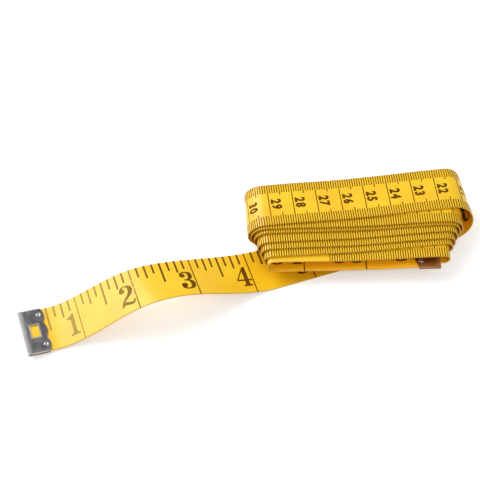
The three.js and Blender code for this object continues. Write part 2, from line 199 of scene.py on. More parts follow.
# The stage, in metres, and the width of the camera's frame, in millimetres
TABLE_HALF_SIZE = 4
SENSOR_WIDTH = 36
CAMERA_TARGET = (-0.0039, 0.0156, 0)
KEY_LIGHT_PLACE = (-0.42, 0.27, 0.45)
KEY_LIGHT_SIZE = 0.58
FILL_LIGHT_PLACE = (0.35, -0.35, 0.45)
FILL_LIGHT_SIZE = 0.5

Run = namedtuple("Run", "across heading level")
Station = namedtuple("Station", "point across up")


def linear(red, green, blue):
    """A colour written in 0 to 255 as a screen shows it, as the linear colour that a shader takes."""
    shares = (red / 255, green / 255, blue / 255)
    return tuple(c / 12.92 if c <= 0.04045 else ((c + 0.055) / 1.055) ** 2.4 for c in shares)


class RibbonSettings(bpy.types.PropertyGroup):
    """The cloth and the ink of its scales."""
    cloth: FloatVectorProperty(
        name="Cloth", description="Yellow of the coated cloth", subtype="COLOR", size=3, min=0, max=1,
        default=linear(250, 203, 12))
    cloth_deep: FloatVectorProperty(
        name="Deeper cloth", description="Yellow where the coat lies thicker", subtype="COLOR", size=3,
        min=0, max=1, default=linear(247, 191, 6))
    # Painted glow: a deeper orange painted on the inward face in the hank, standing for light bounced between
    # the turns
    cloth_kept: FloatVectorProperty(
        name="Painted glow on cloth", description="Deep yellow of the face that lies inward in the hank",
        subtype="COLOR", size=3, min=0, max=1, default=linear(255, 180, 6))
    edge: FloatVectorProperty(
        name="Handled edge", description="Tone of the edges that are touched most", subtype="COLOR", size=3,
        min=0, max=1, default=linear(206, 158, 34))
    ink: FloatVectorProperty(
        name="Ink", description="Dark brown of the printed scales", subtype="COLOR", size=3, min=0, max=1,
        default=linear(98, 58, 3))
    ink_worn: FloatVectorProperty(
        name="Worn ink", description="Ink where rubbing has thinned it", subtype="COLOR", size=3,
        min=0, max=1, default=linear(160, 116, 22))
    # Partly worn ink, partly a painted sheen: the ink is painted paler towards the free end
    ink_faded: FloatVectorProperty(
        name="Faded ink", description="Ink towards the free end, which is handled most",
        subtype="COLOR", size=3, min=0, max=1, default=linear(181, 157, 83))
    ink_height: FloatProperty(
        name="Ink height", description="How far the ink stands above the cloth, in metres", unit="LENGTH",
        default=0.018 * MM, min=0, precision=6)
    edge_round: FloatProperty(
        name="Edge rounding", description="Radius of the ribbon's long edges, in metres", unit="LENGTH",
        default=0.2 * MM, min=0, precision=6)


class ClipSettings(bpy.types.PropertyGroup):
    """The folded end clips and their rivets."""
    metal: FloatVectorProperty(
        name="Clip metal", description="Dark plating of the clips", subtype="COLOR", size=3, min=0, max=1,
        default=linear(90, 88, 91))
    # Paler plating: in stains and at the sides, and as the painted highlight along the clip's fold and window
    # rim
    metal_worn: FloatVectorProperty(
        name="Worn metal", description="Plating where it is rubbed bright", subtype="COLOR", size=3,
        min=0, max=1, default=linear(190, 187, 185))
    # Painted reflection: the yellow cloth around the inner clip, reflected in its plating, painted into its
    # colour
    tarnish: FloatVectorProperty(
        name="Painted reflection", description="The browned plating of the clip inside the hank",
        subtype="COLOR", size=3, min=0, max=1, default=linear(184, 112, 20))
    rivet: FloatVectorProperty(
        name="Rivet metal", description="Bright plating of the rivets", subtype="COLOR", size=3, min=0, max=1,
        default=linear(158, 156, 154))
    rounding: FloatProperty(
        name="Edge rounding", description="Width of the rounding on the sheet's edges, in metres",
        unit="LENGTH", default=0.1 * MM, min=0, precision=6)


class StageSettings(bpy.types.PropertyGroup):
    """The table, the light and the camera."""
    table: FloatVectorProperty(
        name="Table", description="Colour of the table", subtype="COLOR", size=3, min=0, max=1,
        default=linear(246, 246, 247))
    key_power: FloatProperty(
        name="Key light", description="Power of the large soft light at the back left", unit="POWER",
        default=3.85, min=0)
    fill_power: FloatProperty(
        name="Fill light", description="Power of the soft light at the front right", unit="POWER",
        default=1.2, min=0)
    sky: FloatProperty(
        name="Room light", description="Strength of the even light from all sides", default=0.5, min=0)
    lift: FloatProperty(
        name="Table lift", description="How much paler the table is to the eye than its lit colour",
        default=0.33, min=0, max=1)
    elevation: FloatProperty(
        name="Camera elevation", description="How far the camera looks down", subtype="ANGLE",
        default=math.radians(56.4), min=0, max=math.pi / 2)
    distance: FloatProperty(
        name="Camera distance", description="From the camera to the point it looks at", unit="LENGTH",
        default=0.5244, min=0.1)
    lens: FloatProperty(
        name="Lens", description="Focal length on a frame 36 mm wide, in millimetres", default=93.4, min=1)


class TapeMeasureSettings(bpy.types.PropertyGroup):
    """Everything that a user would change."""
    ribbon: PointerProperty(type=RibbonSettings)
    clips: PointerProperty(type=ClipSettings)
    stage: PointerProperty(type=StageSettings)


# The path of the ribbon

def tangent(degrees):
    return math.tan(math.radians(degrees))


def station(x, y, z, heading, ahead, roll=0.0):
    """A place on the ribbon: the middle of its width, the way across it and the way out of its inch face."""
    turn = math.radians(heading)
    level = math.cos(roll)
    across = Vector((-math.sin(turn) * level, math.cos(turn) * level, -math.sin(roll)))
    up = Vector(ahead).cross(across).normalized()
    return Station(Vector((x, y, z)), across, up)


def left_end(k):
    """Where turn k bends over at the left."""
    return LEFT_STEP_IN * (k - 1) - RUN_LENGTH / 2


def right_end(k):
    """Where turn k bends up into the next one at the right."""
    return RUN_LENGTH / 2 + (OUTER_SLACK if k == 0 else -RIGHT_SET_IN - RIGHT_STEP_IN * (k - 1))


def across_at(run, x):
    return run.across + x * tangent(run.heading)


def top_run(k):
    return Run(TOP_ACROSS[k - 1], TOP_HEADING[k - 1], INNER_TOP_LEVEL + (TURNS - k) * PITCH)


def bottom_run(k):
    """A lower run, from the left end of its turn's upper run to the right end of the next one."""
    if k == 0:
        return Run(FLOOR_RUN_ACROSS, FREE_HEADING, FLOOR_LEVEL)
    level = FLOOR_LEVEL + k * PITCH
    if k == TURNS:
        return Run(LAST_RUN_ACROSS, LAST_RUN_HEADING, level)
    left = left_end(k)
    right = right_end(k)
    start = across_at(top_run(k), left)
    slope = (across_at(top_run(k + 1), right) - start) / (right - left)
    return Run(start - left * slope, math.degrees(math.atan(slope)), level)


def straight(run, start, end, ease=0.0, phase=0.0, sag=0.0):
    """Stations of a straight run, both ends included. The cloth sags and eases a little between its bends."""
    way = 1 if end > start else -1
    steps = max(1, round(abs(end - start) / RUN_STEP))
    half = RUN_LENGTH / 2 - SAG_SETBACK
    stations = []
    for i in range(steps + 1):
        x = start + (end - start) * i / steps
        turn = math.pi * min(max((x / half + 1) / 2, 0), 1)
        lift = ease * math.sin(turn) ** 2 * math.sin(math.tau * x / RUN_EASE_LENGTH + phase)
        z = run.level - sag * math.sin(turn) ** 2 + lift
        rise = -sag * math.sin(2 * turn) * math.pi / (2 * half)
        ahead = (way, way * tangent(run.heading), way * rise)
        stations.append(station(x, across_at(run, x), z, run.heading, ahead))
    return stations


def bend(start_run, end_run, x, way):
    """Stations of the half turn from one run to the next, without its ends."""
    radius = abs(end_run.level - start_run.level) / 2
    rise = math.copysign(1, end_run.level - start_run.level)
    middle = (start_run.level + end_run.level) / 2
    start = across_at(start_run, x)
    end = across_at(end_run, x)
    slope_in = way * radius * tangent(start_run.heading) * math.pi
    slope_out = -way * radius * tangent(end_run.heading) * math.pi
    steps = max(LEAST_BEND_STEPS, math.ceil(math.pi * radius / BEND_STEP))
    stations = []
    for i in range(1, steps):
        u = i / steps
        angle = u * math.pi
        y = (start * (2 * u ** 3 - 3 * u ** 2 + 1) + end * (3 * u ** 2 - 2 * u ** 3)
             + slope_in * (u ** 3 - 2 * u ** 2 + u) + slope_out * (u ** 3 - u ** 2))
        rate = ((start - end) * (6 * u ** 2 - 6 * u)
                + slope_in * (3 * u ** 2 - 4 * u + 1) + slope_out * (3 * u ** 2 - 2 * u)) / math.pi
        ahead = (way * radius * math.cos(angle), rate, rise * radius * math.sin(angle))
        heading = start_run.heading + (end_run.heading - start_run.heading) * u
        z = middle - rise * radius * math.cos(angle)
        stations.append(station(x + way * radius * math.sin(angle), y, z, heading, ahead))
    return stations


def on_free_stretch(distance):
    """A station of the free stretch, by the distance over the table from the outer clip's fold."""
    run = bottom_run(0)
    turn = math.radians(run.heading)
    hank_end = left_end(1) - (top_run(1).level - bottom_run(1).level) / 2
    rising = distance < HUMP_CREST_AT
    foot = HUMP_START_AT if rising else HUMP_END_AT
    foot_level = HUMP_FOOT_LEVEL if rising else run.level
    rise = run.level + HUMP_HEIGHT - foot_level
    span = HUMP_CREST_AT - foot
    share = min(max((distance - foot) / span, 0), 1)
    on_clip = max(HUMP_START_AT - distance, 0)
    eased = min(max(1 + (HUMP_START_AT - distance) / END_CURL_LENGTH, 0), 1)
    curl = END_CURL_RATE * (on_clip + END_CURL_LENGTH * eased ** 2 / 2)
    level = foot_level + curl + rise * (1 - math.cos(math.pi * share)) / 2
    slope = rise * math.pi * math.sin(math.pi * share) / (2 * span) - END_CURL_RATE * eased
    x = hank_end - FREE_REACH * math.cos(turn) + distance * math.cos(turn)
    off_peak = min(abs(distance - ROLL_PEAK_AT) / ROLL_SPREAD, 1)
    roll = math.radians(ROLL_PEAK) * (1 + math.cos(math.pi * off_peak)) / 2
    ahead = (math.cos(turn), math.sin(turn), slope)
    return station(x, across_at(run, x), level, run.heading, ahead, roll)


def free_stations(start, end):
    steps = math.ceil((end - start) / FREE_STEP)
    return [on_free_stretch(start + (end - start) * i / steps) for i in range(steps + 1)]


def last_run():
    """The innermost run, which lifts a little and ends inside the inner clip."""
    run = bottom_run(TURNS)
    end = RUN_LENGTH / 2 - INNER_END_SETBACK - FOLD_RADIUS
    lift_end = end - CLIP_LENGTH - STRAIGHT_PAST_CLIP
    stations = straight(run, left_end(TURNS), lift_end - TAIL_LIFT_LENGTH)
    for i in range(1, TAIL_LIFT_STEPS + 1):
        share = i / TAIL_LIFT_STEPS
        x = lift_end - TAIL_LIFT_LENGTH * (1 - share)
        level = run.level + TAIL_LIFT * (1 - math.cos(math.pi * share)) / 2
        slope = TAIL_LIFT * math.pi * math.sin(math.pi * share) / (2 * TAIL_LIFT_LENGTH)
        ahead = (1, tangent(run.heading), slope)
        stations.append(station(x, across_at(run, x), level, run.heading, ahead))
    return stations + straight(run._replace(level=run.level + TAIL_LIFT), lift_end, end)[1:]


def hank_stations():
    """The run on the table and every turn above it, to the ribbon's inner end."""
    stations = straight(bottom_run(0), on_free_stretch(HUMP_END_AT).point.x, right_end(0))
    for k in range(1, TURNS + 1):
        stations += bend(bottom_run(k - 1), top_run(k), right_end(k - 1), 1)
        stations += straight(top_run(k), right_end(k - 1), left_end(k), RUN_EASE, k, TOP_SAG)
        stations += bend(top_run(k), bottom_run(k), left_end(k), -1)
        if k < TURNS:
            stations += straight(bottom_run(k), left_end(k), right_end(k), RUN_EASE, k)
    return stations + last_run()


class Ribbon:
    """The laid ribbon: takes a place on the flat ribbon, in millimetres, to the frame, in metres."""

    def __init__(self):
        curl = free_stations(FOLD_RADIUS, CURL_PIECE_END)
        lift = free_stations(CURL_PIECE_END, LIFT_PIECE_END)
        foot = free_stations(LIFT_PIECE_END, HUMP_END_AT)
        self.stations = curl + lift[1:] + foot[1:] + hank_stations()[1:]
        self.marks = [FOLD_RADIUS]
        for before, after in zip(self.stations, self.stations[1:]):
            self.marks.append(self.marks[-1] + (after.point - before.point).length)
        self.length = self.marks[-1]
        self.curl_last = len(curl) - 1
        self.lift_last = len(curl) + len(lift) - 2
        self.shift = Vector()
        self.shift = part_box("wound_tape")[1] - self.far_corner()

    def far_corner(self):
        """The highest x, y and z of the wound part."""
        half = TAPE_WIDTH / 2
        places = []
        for mark in self.marks[self.lift_last:]:
            for across in (-half, half):
                for side in (-1, 1):
                    places.append(self.lay(mark, across, side * TAPE_THICKNESS / 2))
        return Vector([max(place[axis] for place in places) for axis in range(3)])

    def lay(self, along, across, height):
        i = min(max(bisect.bisect_right(self.marks, along) - 1, 0), len(self.marks) - 2)
        share = (along - self.marks[i]) / (self.marks[i + 1] - self.marks[i])
        before = self.stations[i]
        after = self.stations[i + 1]
        place = before.point.lerp(after.point, share)
        place += before.across.lerp(after.across, share) * across
        place += before.up.lerp(after.up, share) * height
        return place * MM + self.shift

    def marks_between(self, start, end):
        return self.marks[bisect.bisect_right(self.marks, start):bisect.bisect_left(self.marks, end)]


RIBBON = Ribbon()


# Materials

class Wire:
    """A socket of a material's nodes, with arithmetic that adds Math nodes."""

    def __init__(self, finish, socket):
        self.finish = finish
        self.socket = socket

    def __add__(self, other):
        return self.finish.maths("ADD", self, other)

    def __sub__(self, other):
        return self.finish.maths("SUBTRACT", self, other)

    def __mul__(self, other):
        return self.finish.maths("MULTIPLY", self, other)


class Finish:
    """A material built from nodes."""

    def __init__(self, name):
        self.material = bpy.data.materials.new(name)
        self.material.use_nodes = True
        self.tree = self.material.node_tree
        self.tree.nodes.clear()

    def node(self, kind, settings=None, sockets=None, output=0):
        """A node with its settings and the values or links of its sockets; its output as a Wire."""
        made = self.tree.nodes.new(kind)
        for name, value in (settings or {}).items():
            if name == "stops":
                self.set_stops(made.color_ramp, value)
            else:
                setattr(made, name, value)
        for name, value in (sockets or {}).items():
            if isinstance(value, Wire):
                self.tree.links.new(value.socket, made.inputs[name])
            else:
                made.inputs[name].default_value = value
        return Wire(self, made.outputs[output]) if made.outputs else None

    @staticmethod
    def set_stops(ramp, stops):
        while len(ramp.elements) < len(stops):
            ramp.elements.new(1)
        for element, (place, value) in zip(ramp.elements, stops):
            element.position = place
            element.color = (value, value, value, 1)

    def maths(self, operation, first, second=0.0):
        return self.node("ShaderNodeMath", {"operation": operation}, {0: first, 1: second})

    def ramp(self, value, *stops):
        return self.node("ShaderNodeValToRGB", {"stops": stops}, {"Fac": value})

    def rising(self, length, start, full, top=1.0):
        """From 0 to the top value between two lengths in millimetres."""
        return self.ramp(length * (1 / (full * MM)), (start / full, 0), (1, top))

    def mix(self, share, first, second):
        """From the first colour to the second."""
        ends = [c if isinstance(c, Wire) else (*c, 1) for c in (first, second)]
        return self.node("ShaderNodeMix", {"data_type": "RGBA"}, {0: share, 6: ends[0], 7: ends[1]}, 2)

    def noise(self, place, scale, detail=2.0, roughness=0.5):
        return self.node("ShaderNodeTexNoise", None, {
            "Vector": place, "Scale": scale, "Detail": detail, "Roughness": roughness})

    def scaled(self, place, scale):
        return self.node("ShaderNodeVectorMath", {"operation": "MULTIPLY"}, {0: place, 1: scale})

    def parts(self, place):
        split = self.node("ShaderNodeSeparateXYZ", None, {0: place}).socket.node
        return [Wire(self, out) for out in split.outputs]

    def object_place(self):
        return self.node("ShaderNodeTexCoord", None, None, "Object")

    def bump(self, height, strength, distance):
        return self.node("ShaderNodeBump", None, {
            "Strength": strength, "Distance": distance, "Height": height})

    def surface(self, **sockets):
        """The one shader of an object's material."""
        named = {name.replace("_", " "): value for name, value in sockets.items()}
        shader = self.node("ShaderNodeBsdfPrincipled", None, named)
        self.show(shader)
        return self.material

    def show(self, shader):
        self.node("ShaderNodeOutputMaterial", None, {"Surface": shader})


def cloth_finish(ribbon):
    """Coated glass cloth: a faint weave under a satin coat, deeper in patches, worn at its edges, with a
    painted glow on its inward face in the hank.
    """
    finish = Finish("coated_cloth")
    place = finish.node("ShaderNodeAttribute", {"attribute_name": "tape_place"}, None, "Vector")
    along, across, above = finish.parts(place)
    threads_along = finish.maths("SINE", along * (math.tau / (WARP_PITCH * MM)))
    threads_across = finish.maths("SINE", across * (math.tau / (WEFT_PITCH * MM)))
    weave = threads_along * threads_across
    patches = finish.noise(finish.scaled(place, (1, 1.6, 1)), 70, 3)
    grain = finish.noise(place, 1400, 2)
    thick = finish.ramp(patches, (0.35, 0), (0.7, 1))
    colour = finish.mix(thick, tuple(ribbon.cloth), tuple(ribbon.cloth_deep))
    # Painted glow: the inch face inside the hank is painted a deeper orange, for light bounced between the
    # turns and shone through the cloth
    inward = finish.ramp(above * (1 / (TAPE_THICKNESS * MM)) + 0.5, (0.7, 0), (0.95, 0.8))
    wound = finish.rising(along, PAINTED_GLOW_START, PAINTED_GLOW_FULL)
    colour = finish.mix(inward * wound, colour, tuple(ribbon.cloth_kept))
    from_middle = finish.maths("ABSOLUTE", across) * (2 / (TAPE_WIDTH * MM))
    smudge = finish.noise(finish.scaled(place, (1, 0.3, 1)), 160, 3)
    toned = finish.ramp(from_middle + smudge * 0.03, (0.97, 0), (1.02, 0.6))
    colour = finish.mix(toned, colour, tuple(ribbon.edge))
    height = weave * 0.3 + grain * 0.6 + patches * 0.8
    return finish.surface(
        Base_Color=colour,
        Roughness=grain * 0.1 + (patches * 0.1 + 0.34),
        Coat_Weight=0.38,
        Coat_Roughness=0.22,
        Normal=finish.bump(height, 0.25, 0.05 * MM),
    )


def ink_finish(ribbon):
    """Matt brown ink, thinned here and there by rubbing, and paler towards the free end, partly from wear and
    partly as a painted sheen.
    """
    finish = Finish("printing_ink")
    place = finish.object_place()
    brightened = finish.ramp(finish.noise(place, 900, 4, 0.7), (0.5, 0), (0.75, 1))
    blotch = finish.ramp(finish.noise(place, 90, 2), (0.4, 0), (0.8, 0.6))
    towards_end, _, _ = finish.parts(place)
    # Paler towards the free end: partly wear, partly a painted sheen for the highlight that washes over the
    # ink there
    toned = finish.rising(towards_end * -1, SHEEN_FADE_START, SHEEN_FADE_FULL, 0.9)
    wear = brightened * 0.5 + blotch * 0.4
    colour = finish.mix(wear, tuple(ribbon.ink), tuple(ribbon.ink_worn))
    return finish.surface(
        Base_Color=finish.mix(toned, colour, tuple(ribbon.ink_faded)),
        Roughness=wear * -0.1 + 0.42,
        Specular_IOR_Level=0.05,
    )


def clip_finish(clips):
    """Dark plating with a fine drawn grain, paler in stains and at its sides, with a painted highlight along
    the fold and around the window's rim, and a painted yellow reflection on the clip inside the hank.
    """
    finish = Finish("clip_plating")
    place = finish.node("ShaderNodeAttribute", {"attribute_name": "clip_place"}, None, "Vector")
    along, across, above = finish.parts(place)
    grain = finish.noise(finish.scaled(place, (1, 0.12, 1)), 900, 3, 0.6)
    stain = finish.noise(place, 260, 3)
    # Painted highlight along the fold: the plating is painted paler there, and made rougher
    fold = finish.ramp(along * (1 / (FOLD_PAINTED_HIGHLIGHT_LENGTH * MM)) + stain * 0.25, (0.3, 1), (0.95, 0))
    off_middle = finish.maths("ABSOLUTE", across)
    past_ends = finish.maths("ABSOLUTE", along - CLIP_LENGTH / 2 * MM) - WINDOW_ALONG / 2 * MM
    off_window = finish.maths("MAXIMUM", past_ends, off_middle - WINDOW_ACROSS / 2 * MM)
    # Painted highlight around the window's rim, on the upper leaf only
    from_rim = finish.maths("ABSOLUTE", off_window) * (1 / (RIM_PAINTED_HIGHLIGHT_WIDTH * MM))
    rim = finish.ramp(from_rim, (0.25, 0.75), (0.9, 0))
    rim = rim * finish.ramp(above * (1 / (CLIP_HEIGHT * MM)) + 0.5, (0.5, 0), (0.6, 1))
    side = finish.ramp(off_middle * (2 / (TAPE_WIDTH * MM)), (0.965, 0), (1.0, 0.8))
    stained = finish.ramp(stain + grain * 0.25, (0.55, 0), (0.85, 0.25))
    brightened = finish.maths("MAXIMUM", fold * 0.9, rim)
    brightened = finish.maths("MAXIMUM", brightened, finish.maths("MAXIMUM", side, stained))
    # Painted yellow reflection on the inner clip, a little weaker in stains
    painted_reflection_share = finish.node("ShaderNodeAttribute", {"attribute_name": "tarnish"}, None, "Fac")
    plating = finish.mix(brightened, tuple(clips.metal), tuple(clips.metal_worn))
    return finish.surface(
        Base_Color=finish.mix(painted_reflection_share * (stain * -0.4 + 0.95), plating, tuple(clips.tarnish)),
        Metallic=1.0,
        Roughness=grain * 0.14 + (stain * 0.12 + (fold * 0.3 + 0.3)),
        Normal=finish.bump(grain + stain * 0.5, 0.2, 0.02 * MM),
    )


def rivet_finish(clips):
    """Bright plating, duller in soft stains."""
    finish = Finish("rivet_plating")
    place = finish.object_place()
    grain = finish.noise(place, 1500, 3, 0.6)
    stain = finish.noise(place, 500, 3)
    brightened = finish.ramp(stain + grain * 0.25, (0.5, 0), (0.8, 1))
    return finish.surface(
        Base_Color=finish.mix(brightened, tuple(clips.rivet), tuple(clips.metal_worn)),
        Metallic=1.0,
        Roughness=grain * 0.1 + (stain * 0.1 + 0.2),
        Normal=finish.bump(grain, 0.15, 0.01 * MM),
    )


def table_finish(stage):
    """A plain pale table, lifted towards white for the eye, with a trace of tooth in its surface."""
    finish = Finish("table_surface")
    place = finish.object_place()
    tooth = finish.noise(place, 400, 3)
    pale = tuple(stage.table)
    shade = tuple(c * 0.985 for c in pale)
    lit = finish.node("ShaderNodeBsdfDiffuse", None, {"Color": finish.mix(tooth, shade, pale)})
    rays = finish.node("ShaderNodeLightPath").socket.node
    seen = [Wire(finish, rays.outputs[name]) for name in
            ("Is Camera Ray", "Is Glossy Ray", "Is Transmission Ray")]
    straight_or_mirrored = finish.maths("MAXIMUM", seen[0], seen[1])
    strength = finish.maths("MAXIMUM", straight_or_mirrored, seen[2]) * (2 * stage.lift)
    away = finish.node("ShaderNodeVectorMath", {"operation": "LENGTH"}, {0: place}, "Value")
    paler = finish.ramp(away, (0.25, 0.5), (0.8, 1))
    glow = finish.node("ShaderNodeEmission", None, {"Color": paler, "Strength": strength})
    finish.show(finish.node("ShaderNodeAddShader", None, {0: lit, 1: glow}))
    return finish.material


def material_of(name, make, *values):
    """A material by its name, made the first time that it is asked for."""
    return bpy.data.materials.get(name) or make(*values)


# Pieces

def settings_of(context):
    return context.scene.tape_measure


def mesh_from(name, shape):
    """A new mesh from a finished bmesh, which is freed."""
    mesh = bpy.data.meshes.new(name)
    shape.to_mesh(mesh)
    shape.free()
    return mesh


def add_object(name, shape, material):
    """A new object at the origin from a finished bmesh."""
    mesh = mesh_from(name, shape)
    mesh.materials.append(material)
    made = bpy.data.objects.new(name, mesh)
    bpy.context.scene.collection.objects.link(made)
    return made


def add_piece(name, shape, material):
    return add_object(name, shape, material)


def ribbon_section(edge_round):
    """The ribbon's outline across, as places of (across, height), from round one edge to round the other."""
    half = TAPE_WIDTH / 2
    thick = TAPE_THICKNESS / 2
    flat = half - edge_round
    lanes = [flat, flat - EDGE_LANE, *FACE_LANES]
    lanes += [-lane for lane in reversed(lanes)]
    corner = [math.radians(angle) for angle in ROUNDING_ANGLES]
    edge = [(flat + edge_round * math.cos(a), thick - edge_round + edge_round * math.sin(a)) for a in corner]
    right = [(across, -height) for across, height in reversed(edge)]
    right += [(half, edge_round - thick), (half, thick - edge_round)] + edge
    upper = [(lane, thick) for lane in lanes]
    return upper + [(-across, height) for across, height in reversed(right)] + [
        (-across, -height) for across, height in upper] + right


def ribbon_shape(first, last, edge_round):
    """A closed length of ribbon between two of its stations."""
    section = ribbon_section(edge_round)
    shape = bmesh.new()
    place = shape.verts.layers.float_vector.new("tape_place")
    steps = last - first
    bmesh.ops.create_grid(shape, x_segments=steps, y_segments=len(section), size=0.5)
    low = min(v.co.x for v in shape.verts)
    wide = max(v.co.x for v in shape.verts) - low
    for v in shape.verts:
        mark = RIBBON.marks[first + round((v.co.x - low) / wide * steps)]
        across, height = section[round((v.co.y - low) / wide * len(section)) % len(section)]
        v[place] = Vector((mark, across, height)) * MM
        v.co = RIBBON.lay(mark, across, height)
    bmesh.ops.remove_doubles(shape, verts=shape.verts, dist=MERGE_DISTANCE * MM)
    for face in shape.faces:
        face.smooth = True
    rim = [edge for edge in shape.edges if edge.is_boundary]
    bmesh.ops.holes_fill(shape, edges=rim, sides=0)
    for edge in rim:
        edge.smooth = False
    bmesh.ops.recalc_face_normals(shape, faces=shape.faces)
    return shape


# Inch numerals, drawn in a square of 100: a third number of 1 marks the pull of a curve
ONE = [[(20, 0), (64, 0), (64, 7), (51, 8, 1), (51, 20), (51, 100), (43, 100), (36, 89, 1), (20, 86),
        (20, 79), (35, 81, 1), (35, 72), (35, 20), (35, 8, 1), (20, 7)]]
TWO = [[(10, 78), (10, 100, 1), (38, 100), (68, 100, 1), (68, 73), (68, 54, 1), (44, 38),
        (26, 27, 1), (20, 18), (28, 23, 1), (36, 18), (46, 11, 1), (54, 11), (62, 11, 1), (63, 22),
        (69, 22), (69, -1, 1), (52, -1), (42, -1, 1), (32, 5), (20, 11, 1), (12, 0), (6, 0),
        (8, 24, 1), (30, 42), (48, 56, 1), (48, 75), (48, 94, 1), (36, 94), (28, 94, 1), (25, 89),
        (35, 88, 1), (35, 77), (35, 66, 1), (23, 66), (10, 66, 1)]]
THREE = [[(10, 80), (10, 100, 1), (38, 100), (66, 100, 1), (66, 76), (66, 58, 1), (50, 53),
          (70, 48, 1), (70, 26), (70, -1, 1), (37, -1), (8, -1, 1), (8, 22), (8, 36, 1), (21, 36),
          (34, 36, 1), (34, 24), (34, 14, 1), (25, 11), (29, 6, 1), (36, 6), (50, 6, 1), (50, 27),
          (50, 48, 1), (34, 48), (26, 48), (26, 55), (34, 55), (47, 55, 1), (47, 76), (47, 93, 1),
          (36, 93), (28, 93, 1), (25, 90), (35, 87, 1), (35, 78), (35, 67, 1), (23, 67), (10, 67, 1)]]
FOUR = [[(44, 100), (56, 100), (56, 36), (71, 36), (71, 28), (56, 28), (56, 15), (56, 7, 1), (67, 7),
         (67, 0), (28, 0), (28, 7), (38, 7, 1), (38, 15), (38, 28), (4, 28), (4, 35)],
        [(38, 36), (38, 80), (11, 36)]]
FIVE = [[(14, 100), (62, 100), (60, 82, 1), (40, 82), (22, 82), (21, 62), (28, 68, 1), (40, 68),
         (69, 68, 1), (69, 34), (69, -1, 1), (36, -1), (8, -1, 1), (8, 21), (8, 35, 1), (21, 35),
         (34, 35, 1), (34, 23), (34, 14, 1), (25, 11), (29, 6, 1), (36, 6), (50, 6, 1), (50, 34),
         (50, 60, 1), (36, 60), (24, 60, 1), (20, 52), (12, 52)]]
SIX = [[(62, 82), (62, 100, 1), (40, 100), (6, 100, 1), (6, 46), (6, -1, 1), (38, -1), (70, -1, 1),
        (70, 31), (70, 62, 1), (42, 62), (30, 62, 1), (25, 54), (25, 94, 1), (42, 94), (46, 94, 1),
        (47, 93), (38, 90, 1), (38, 80), (38, 70, 1), (50, 70), (62, 70, 1)],
       [(26, 31), (26, 54, 1), (38, 54), (51, 54, 1), (51, 31), (51, 6, 1), (38, 6), (26, 6, 1)]]
SEVEN = [[(8, 100), (8, 72), (15, 72), (18, 82, 1), (28, 82), (52, 82), (28, 44, 1), (28, 0),
          (48, 0), (48, 48, 1), (68, 84), (68, 100)]]
EIGHT = [[(38, 100), (66, 100, 1), (66, 76), (66, 60, 1), (52, 53), (70, 46, 1), (70, 26),
          (70, -1, 1), (38, -1), (6, -1, 1), (6, 26), (6, 46, 1), (24, 53), (10, 60, 1), (10, 76),
          (10, 100, 1)],
         [(38, 94), (27, 94, 1), (27, 76), (27, 58, 1), (38, 58), (49, 58, 1), (49, 76), (49, 94, 1)],
         [(38, 49), (25, 49, 1), (25, 27), (25, 6, 1), (38, 6), (51, 6, 1), (51, 27), (51, 49, 1)]]
NINE = [[(76 - x, 99 - y, *pull) for x, y, *pull in contour] for contour in SIX]
ZERO = [[(38, 100), (6, 100, 1), (6, 50), (6, -1, 1), (38, -1), (70, -1, 1), (70, 50), (70, 100, 1)],
        [(38, 94), (26, 94, 1), (26, 50), (26, 6, 1), (38, 6), (50, 6, 1), (50, 50), (50, 94, 1)]]
INCH_NUMERALS = [ZERO, ONE, TWO, THREE, FOUR, FIVE, SIX, SEVEN, EIGHT, NINE]
CURVE_STEPS = 3


def traced(contour):
    """The corner points of a contour, with each pulled curve cut into short lines."""
    points = []
    for i, (x, y, *pull) in enumerate(contour):
        if not pull:
            points.append(Vector((x, y, 0)))
            continue
        before = Vector((*contour[i - 1][:2], 0))
        after = Vector((*contour[(i + 1) % len(contour)][:2], 0))
        for step in range(1, CURVE_STEPS):
            t = step / CURVE_STEPS
            points.append(before * (1 - t) ** 2 + Vector((x, y, 0)) * (2 * t * (1 - t)) + after * t ** 2)
    return points


def thickened(shape, depth):
    """Gives a flat figure its thickness, downwards, and closes it."""
    grown = bmesh.ops.extrude_face_region(shape, geom=shape.faces[:])
    moved = [item for item in grown["geom"] if isinstance(item, bmesh.types.BMVert)]
    bmesh.ops.translate(shape, verts=moved, vec=(0, 0, -depth))
    bmesh.ops.recalc_face_normals(shape, faces=shape.faces)


def inch_figure(digit, depth):
    """An inch numeral as a thin solid, upright on its baseline, in millimetres."""
    shape = bmesh.new()
    for contour in INCH_NUMERALS[digit]:
        corners = [shape.verts.new(point) for point in traced(contour)]
        for before, after in zip(corners, corners[1:] + corners[:1]):
            shape.edges.new((before, after))
    plain = len(INCH_NUMERALS[digit]) == 1
    bmesh.ops.triangle_fill(shape, use_beauty=True, use_dissolve=plain, edges=shape.edges)
    scale = INCH_NUMERAL_HEIGHT / 100
    bmesh.ops.scale(shape, vec=(scale, scale, 1), verts=shape.verts)
    thickened(shape, depth)
    return mesh_from(f"inch_figure_{digit}", shape)


